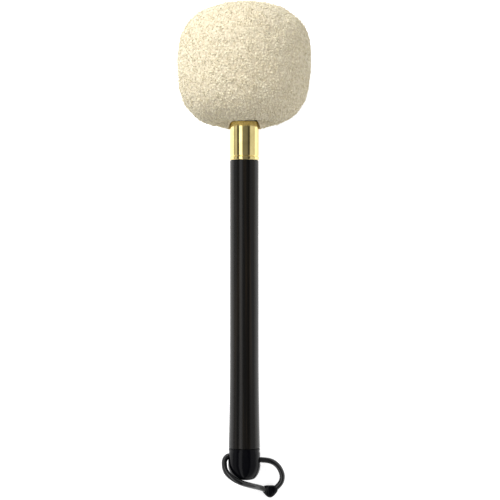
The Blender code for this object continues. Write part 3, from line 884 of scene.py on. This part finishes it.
def make_curls(grid, normals):
    """Loose curls that stand out of the pile."""
    draw = np.random.default_rng(7)
    points = curl_points(draw, *curl_roots(draw, grid, normals))
    mesh = bpy.data.meshes.new("fleece_curls")
    mesh.from_pydata((points * MM).tolist(), [], curl_faces())
    mesh.shade_smooth()
    # each curl is painted a little darker at its root, as shade
    set_tufts(mesh, np.tile(np.repeat(np.linspace(0.75, 1.0, CURL_POINTS), 3), CURLS))
    curls = linked("fleece_curls", mesh)
    wear(curls, "mallet", cream_fleece("fleece_curls", 1.04), "cream_fleece")


# The rigid pieces


def make_handle(bore):
    """Handle with its tenon, its seat for the ferrule and its swell towards the butt."""
    foot = CAP_LENGTH + GAP
    swell = BUTT_RADIUS - HANDLE_RADIUS
    steps = 24
    seat = FERRULE_RADIUS - FERRULE_WALL - GAP
    butt = BUTT_RADIUS - CAP_WALL - GAP
    end = CAP_END_THICKNESS + GAP
    shoulder = FERRULE_TOP - 2 * GAP
    corners = [(0.0, TENON_TOP, 0), (NECK_RADIUS, TENON_TOP, 0.6), (NECK_RADIUS, shoulder, 0)]
    corners += [(seat, shoulder, 0.4), (seat, FERRULE_FOOT - GAP, 0)]
    corners += [(HANDLE_RADIUS, FERRULE_FOOT - GAP, 0.35)]
    for i in range(1, steps + 1):
        share = 1 - i / steps
        ease = 0.4 if i == steps else 0
        radius = HANDLE_RADIUS + swell * (1 - share) ** 2
        corners.append((radius, foot + SWELL_LENGTH * share, ease))
    corners += [(butt, foot, 0), (butt, end + BUTT_BEVEL_HEIGHT, 0)]
    corners += [(butt - BUTT_BEVEL, end, 0), (0.0, end, 0)]
    handle = turned("handle", eased(corners))
    carve(handle, bore)
    wear(handle, "mallet", black_lacquer(), "black_lacquer", "handle_shaft")


def make_ferrule():
    """Brass tube with a rolled lip at its foot and a fine groove above it."""
    inner = FERRULE_RADIUS - FERRULE_WALL
    groove = FERRULE_FOOT + FERRULE_GROOVE_HEIGHT
    corners = [
        (FERRULE_RADIUS, FERRULE_TOP, 0.35),
        (FERRULE_RADIUS, groove + 0.6, 0.15),
        (FERRULE_RADIUS - FERRULE_GROOVE_DEPTH, groove + 0.25, 0.1),
        (FERRULE_RADIUS - FERRULE_GROOVE_DEPTH, groove, 0.1),
        (FERRULE_RADIUS + FERRULE_BEAD, groove - 0.4, 0.2),
        (FERRULE_RADIUS + FERRULE_BEAD, FERRULE_FOOT, 0.45),
        (inner, FERRULE_FOOT, 0.1),
        (inner, FERRULE_TOP, 0.1),
    ]
    ferrule = turned("ferrule", eased(corners), 128, closed=True)
    wear(ferrule, "mallet", polished_brass(), "polished_brass", "brass_ferrule")


def cap_profile():
    """The cap's outside from its rolled lip to its flat end: radius and height."""
    wall = CAP_LENGTH - CAP_CORNER_HEIGHT - CAP_LIP_RADIUS
    below_lip = CAP_LENGTH - CAP_LIP_RADIUS
    profile = []
    lip_steps = 6
    for i in range(lip_steps + 1):
        turn = math.pi / 2 * i / lip_steps
        radius = BUTT_RADIUS + CAP_LIP_PROUD - CAP_LIP_RADIUS + CAP_LIP_RADIUS * math.sin(turn)
        profile.append((radius, below_lip + CAP_LIP_RADIUS * math.cos(turn)))
    wall_steps = 12
    for i in range(1, wall_steps):
        share = i / wall_steps
        waist = CAP_WAIST_DEPTH * math.exp(-(((share - 0.13) / 0.06) ** 2))
        profile.append((BUTT_RADIUS + CAP_BULGE * share - waist, below_lip - wall * share))
    corner = BUTT_RADIUS + CAP_BULGE - CAP_FLAT_RADIUS
    corner_steps = 28
    for i in range(corner_steps):
        turn = math.pi / 2 * i / corner_steps
        across = math.cos(turn) ** (2 / CAP_CORNER_POWER)
        down = math.sin(turn) ** (2 / CAP_CORNER_POWER)
        profile.append((CAP_FLAT_RADIUS + corner * across, CAP_CORNER_HEIGHT * (1 - down)))
    return [*profile, (CAP_FLAT_RADIUS, 0.0), (0.0, 0.0)]


def make_cap(bore, vinyl):
    """Dipped vinyl cap with a soft rolled lip."""
    inner = BUTT_RADIUS - CAP_WALL
    inside = [(0.0, CAP_END_THICKNESS), (inner - BUTT_BEVEL, CAP_END_THICKNESS)]
    inside += [(inner, CAP_END_THICKNESS + BUTT_BEVEL_HEIGHT), (inner, CAP_LENGTH)]
    cap = turned("cap", inside + cap_profile(), 128)
    carve(cap, bore)
    wear(cap, "mallet", vinyl, "black_vinyl", "butt_cap")


def make_bore():
    """The slanted cross-hole with its flared mouths, as a cutter."""
    reach = BORE_STRAIGHT + MOUTH_DEPTH
    steps = 12
    flare = []
    for i in range(steps + 1):
        share = i / steps
        spread = (MOUTH_RADIUS - CORD_RADIUS - GAP) * share**3
        flare.append((CORD_RADIUS + GAP + spread, BORE_STRAIGHT + MOUTH_DEPTH * share))
    upper = [(0.0, reach + MOUTH_DEPTH), (MOUTH_RADIUS, reach + MOUTH_DEPTH), *flare[::-1]]
    lower = [(r, -h) for r, h in upper[::-1]]
    bore = turned("bore_cutter", upper + lower, 48)
    slant = Matrix.Rotation(math.pi / 2 + BORE_SLANT, 4, "Y")
    bore.matrix_world = LAID @ Matrix.Translation((0, 0, BORE_HEIGHT * MM)) @ slant
    return bore


def make_cord(sleeve):
    """The cord from the sleeve through the cross-hole and back to the sleeve."""
    left, right = [
        [Vector((across, -outward, height)) for across, outward, height in strand]
        for strand in (LEFT_STRAND, RIGHT_STRAND)
    ]
    slant = Vector((math.cos(BORE_SLANT), 0.0, -math.sin(BORE_SLANT))) * BORE_STRAIGHT
    middle = Vector((0.0, 0.0, BORE_HEIGHT))
    inside = [middle + slant * share for share in (-1.0, -0.5, 0.0, 0.5, 1.0)]
    route, length = smooth_route(left + inside + right, CORD_SPACING)
    cord = tube("cord", route, CORD_RADIUS, 6)
    wear(cord, "wrist_loop", black_cord(), "black_cord", "wrist_cord")
    length * MM


def make_sleeve(vinyl):
    """Fluted teardrop that grips both ends of the cord."""
    # Shares of the sleeve's radius and length, from its flat top to its tip
    shape = [(0.0, 0.0), (0.30, 0.005), (0.55, 0.01), (0.72, 0.035), (0.86, 0.09), (0.95, 0.17)]
    shape += [(0.99, 0.27), (1.0, 0.37), (0.97, 0.46), (0.91, 0.55), (0.82, 0.63), (0.72, 0.71)]
    shape += [(0.60, 0.79), (0.49, 0.86), (0.37, 0.92), (0.24, 0.97), (0.12, 0.995), (0.0, 1.0)]
    profile = [(SLEEVE_RADIUS * r, -SLEEVE_LENGTH * h) for r, h in shape]
    sleeve = turned("sleeve", profile, 120)
    across, away, height = SLEEVE_PLACE
    for spot in sleeve.data.vertices:
        turn = math.atan2(spot.co.y, spot.co.x)
        share = -spot.co.z / (SLEEVE_LENGTH * MM)
        groove = 0.5 - 0.5 * math.cos(SLEEVE_FLUTES * turn)
        flute = 1.0 - SLEEVE_FLUTE_DEPTH * groove * math.sin(math.pi * share)
        spot.co.x = spot.co.x * flute + across * MM
        spot.co.y = spot.co.y * flute * SLEEVE_FLATNESS + away * MM
        spot.co.z += height * MM
    sleeve.data.update()
    return wear(sleeve, "wrist_loop", vinyl, "black_vinyl", "cord_end_sleeve")


def make_whipping():
    """Thread wound round the hem, over the top of the ferrule."""
    points_a_turn = 48
    first = FERRULE_TOP + 2 * GAP + THREAD_RADIUS
    points = []
    for i in range(round(THREAD_TURNS * points_a_turn) + 1):
        turn = 2 * math.pi * i / points_a_turn
        x = THREAD_COIL_RADIUS * math.cos(turn)
        y = THREAD_COIL_RADIUS * math.sin(turn)
        points.append((x, y, first + THREAD_PITCH * i / points_a_turn))
    whipping = tube("whipping", points, THREAD_RADIUS, 3)
    wear(whipping, "mallet", black_thread(), "black_thread", "neck_whipping")


def dress_inner_nodes():
    """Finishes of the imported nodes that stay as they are, inside the head."""
    felt = inner_fabric("grey_felt", (0.50, 0.49, 0.46), (0.33, 0.32, 0.30), 900.0)
    wool = inner_fabric("wool_wadding", (0.84, 0.81, 0.72), (0.62, 0.59, 0.50), 420.0)
    steel = zinc_steel()
    finishes = {
        "head_core": core_wood(),
        "core_washer": steel,
        "core_screw": steel,
        "felt_wrap_inner": felt,
        "felt_wrap_outer": felt,
        "felt_disc_bottom": felt,
        "felt_disc_top": felt,
        "wadding": wool,
    }
    for name, made in finishes.items():
        materials = frame["nodes"][name].data.materials
        materials.clear()
        materials.append(made.material)


def make_scene():
    """The mallet, its table, its lamps and its camera."""
    bpy.context.scene.view_settings.view_transform = "Standard"
    set_camera()
    vinyl = black_vinyl()
    make_cord(make_sleeve(vinyl))
    set_lamps()
    set_world()
    make_floor()
    bore = make_bore()
    make_handle(bore)
    make_cap(bore, vinyl)
    bpy.data.objects.remove(bore)
    make_ferrule()
    make_whipping()
    make_fleece()
    dress_inner_nodes()


make_scene()
